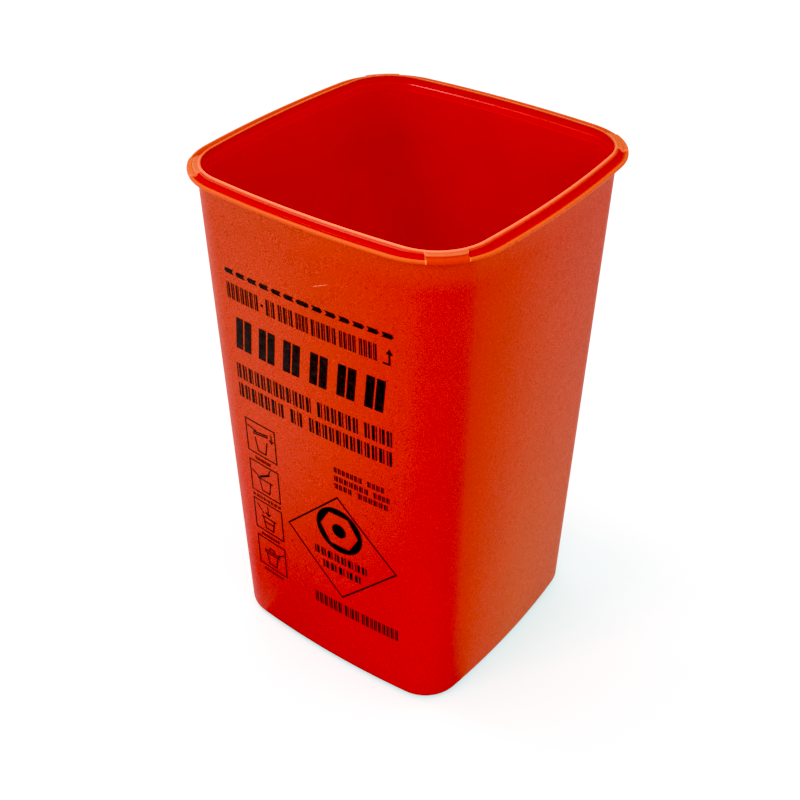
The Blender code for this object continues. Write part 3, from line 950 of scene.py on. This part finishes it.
# Two dark cards that only reflections see: one on the floor, as x and y, which keeps the tub's front
# edge deep in colour, and one behind the tub.
CARD = (
    (-60, -46), (-60, -105), (0, -105), (60, -380), (300, -300), (400, 40), (260, 260), (173, 150),
    (113, 50), (36, -30), (-25, -30), (-32, -46),
)
CARD_HEIGHT = 0.5 * MM
BACK_CARD = ((-900, 450, 60), (900, 450, 60), (1100, 650, 900), (-1100, 650, 900))
CARD_BLACK = (0.02, 0.02, 0.02, 1.0)


def add_prop(name, bm, material):
    """A thing round the object that isn't part of it."""
    mesh = bpy.data.meshes.new(name)
    bm.to_mesh(mesh)
    bm.free()
    mesh.materials.append(material)
    prop = bpy.data.objects.new(name, mesh)
    bpy.context.scene.collection.objects.link(prop)
    return prop


def towards(azimuth, elevation):
    """A unit vector; the azimuth is 0 towards -Y and a quarter turn towards +X, in radians."""
    across = math.cos(elevation)
    return Vector((math.sin(azimuth) * across, -math.cos(azimuth) * across, math.sin(elevation)))


def make_floor():
    bm = bmesh.new()
    bmesh.ops.create_grid(bm, x_segments=1, y_segments=1, size=FLOOR_REACH)
    material, tree, shader = new_material("floor")
    tone = mottle(tree, 6, 2, 0.0, 1.0)
    tree.links.new(blend_colour(tree, tone, FLOOR_DARK, FLOOR_PALE), shader.inputs["Base Color"])
    shader.inputs["Roughness"].default_value = 0.6
    shader.inputs["Specular IOR Level"].default_value = 0.2
    shader.inputs["Emission Color"].default_value = FLOOR_LIGHT
    shader.inputs["Emission Strength"].default_value = 1.0
    floor = add_prop("floor", bm, material)
    floor.location.z = FLOOR_LEVEL


def add_softbox(name, azimuth, elevation, side, power):
    """A square lamp that faces the middle of the tub."""
    lamp = bpy.data.lights.new(name, "AREA")
    lamp.shape = "SQUARE"
    lamp.size = side
    lamp.energy = power
    back = towards(math.radians(azimuth), math.radians(elevation))
    softbox = bpy.data.objects.new(name, lamp)
    softbox.location = TUB_MIDDLE + back * SOFTBOX_DISTANCE
    softbox.rotation_euler = back.to_track_quat("Z", "Y").to_euler()
    bpy.context.scene.collection.objects.link(softbox)


def make_studio():
    scene = bpy.context.scene
    scene.view_settings.view_transform = "Standard"
    scene.view_settings.use_curve_mapping = True
    scene.view_settings.curve_mapping.black_level = BLACK_LEVEL
    scene.view_settings.curve_mapping.update()
    world = bpy.data.worlds.new("studio")
    world.use_nodes = True
    background = world.node_tree.nodes["Background"]
    background.inputs["Color"].default_value = (1, 1, 1, 1)
    background.inputs["Strength"].default_value = SKY_STRENGTH
    scene.world = world
    for name, values in SOFTBOXES.items():
        add_softbox(name, *values)


def make_card():
    bm = bmesh.new()
    bm.faces.new([bm.verts.new((x * MM, y * MM, CARD_HEIGHT)) for x, y in CARD])
    bm.faces.new([bm.verts.new(Vector(corner) * MM) for corner in BACK_CARD])
    material, _, shader = new_material("card")
    shader.inputs["Base Color"].default_value = CARD_BLACK
    card = add_prop("card", bm, material)
    card.visible_camera = False
    card.visible_diffuse = False
    card.visible_shadow = False
    card.visible_transmission = False


def make_camera():
    back = towards(CAMERA_AZIMUTH, CAMERA_ELEVATION)
    right = Vector((math.cos(CAMERA_AZIMUTH), math.sin(CAMERA_AZIMUTH), 0))
    up = back.cross(right)
    tilted_right = right * math.cos(CAMERA_ROLL) + up * math.sin(CAMERA_ROLL)
    tilted_up = up * math.cos(CAMERA_ROLL) - right * math.sin(CAMERA_ROLL)
    aim = TUB_MIDDLE + tilted_right * CAMERA_AIM_RIGHT + tilted_up * CAMERA_AIM_UP
    data = bpy.data.cameras.new("camera")
    data.lens = CAMERA_LENS
    data.sensor_width = CAMERA_SENSOR
    camera = bpy.data.objects.new("camera", data)
    turn = Matrix((tilted_right, tilted_up, back)).transposed()
    camera.matrix_world = Matrix.Translation(aim + back * CAMERA_DISTANCE) @ turn.to_4x4()
    bpy.context.scene.collection.objects.link(camera)
    bpy.context.scene.camera = camera


make_floor()
make_card()
make_studio()
make_camera()
